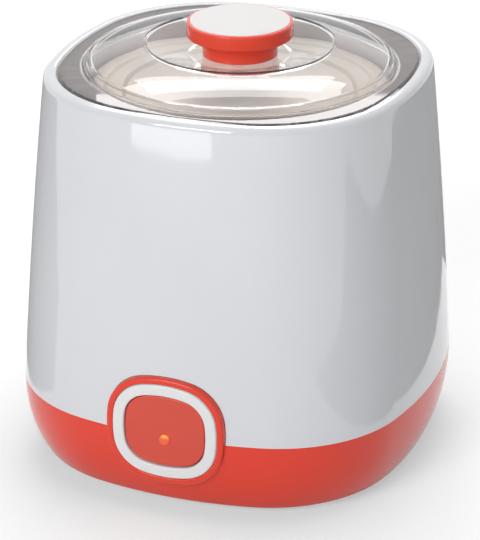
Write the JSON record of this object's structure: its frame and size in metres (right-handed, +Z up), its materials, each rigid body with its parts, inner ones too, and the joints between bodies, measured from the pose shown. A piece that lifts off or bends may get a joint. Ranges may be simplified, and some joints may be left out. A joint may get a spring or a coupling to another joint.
{
  "type": "yogurt maker",
  "caption": "Soft-square countertop yogurt maker with a heated round well, lift-out lidded container, clear domed outer lid with a flared knob, and a push switch in a raised front collar.",
  "frame": {"origin": "floor under the feet, at the centre of the body in plan", "axes": "+Z up, -Y out of the front face that carries the button, +X to the right of a viewer who faces the front"},
  "size_m": [0.18, 0.1821, 0.1915],
  "materials": {
    "white_housing": "high-gloss moulded white",
    "coral_plastic": "gloss moulded coral red",
    "coral_button": "satin moulded coral red",
    "coral_knob": "gloss moulded coral red",
    "white_trim": "gloss moulded white",
    "white_cap": "satin moulded white",
    "foot_rubber": "matte",
    "black_rubber": "matte",
    "screw_steel": "zinc plated",
    "clip_steel": "spring steel",
    "well_aluminium": "satin anodised",
    "heater_film": "film over etched foil",
    "felt": "needled felt",
    "grey_plastic": "moulded",
    "dark_plastic": "moulded",
    "white_nylon": "moulded",
    "fuse_ceramic": "unglazed",
    "terminal_brass": "plain",
    "lead_sleeve": "silicone sleeve",
    "milky_plastic": "translucent moulded",
    "cream_plastic": "translucent moulded",
    "lamp_glass": "clear",
    "amber_lens": "tinted clear",
    "clear_lid": "clear moulded"
  },
  "bodies": {
    "housing": {"outer_housing": "white_housing", "base_shell": "coral_plastic", "rubber_feet": "foot_rubber", "base_screws": "screw_steel", "heating_well": "well_aluminium", "heater_foil": "heater_film", "insulation_felt": "felt", "heater_support": "grey_plastic", "thermostat": "dark_plastic", "thermal_fuse": "fuse_ceramic", "fuse_clip": "clip_steel", "button_ring": "white_trim", "switch_carrier": "grey_plastic", "carrier_screws": "screw_steel", "power_switch": "dark_plastic", "pilot_lamp": "lamp_glass", "cord_gland": "black_rubber", "terminal_block": "white_nylon", "terminal_screws": "terminal_brass", "wiring_leads": "lead_sleeve"},
    "button": {"power_button": "coral_button", "pilot_lens": "amber_lens", "switch_plunger": "white_nylon"},
    "container": {"yogurt_container": "milky_plastic"},
    "snap_lid": {"container_lid": "cream_plastic"},
    "clear_lid": {"outer_lid": "clear_lid", "lid_knob": "coral_knob", "knob_cap": "white_cap", "knob_washer": "screw_steel", "knob_screw": "screw_steel"}
  },
  "joints": [
    {"name": "button_press", "type": "slide", "parent": "housing", "child": "button", "axis": [0, 1, 0], "range_m": [0, 0.003], "stiffness_N_per_m": 500, "springref_m": -0.002},
    {"name": "container_lift", "type": "slide", "parent": "housing", "child": "container", "axis": [0, 0, 1], "range_m": [0, 0.125]},
    {"name": "container_lid_lift", "type": "slide", "parent": "container", "child": "snap_lid", "axis": [0, 0, 1], "range_m": [0, 0.05]},
    {"name": "outer_lid_lift", "type": "slide", "parent": "snap_lid", "child": "clear_lid", "axis": [0, 0, 1], "range_m": [0, 0.06]}
  ]
}
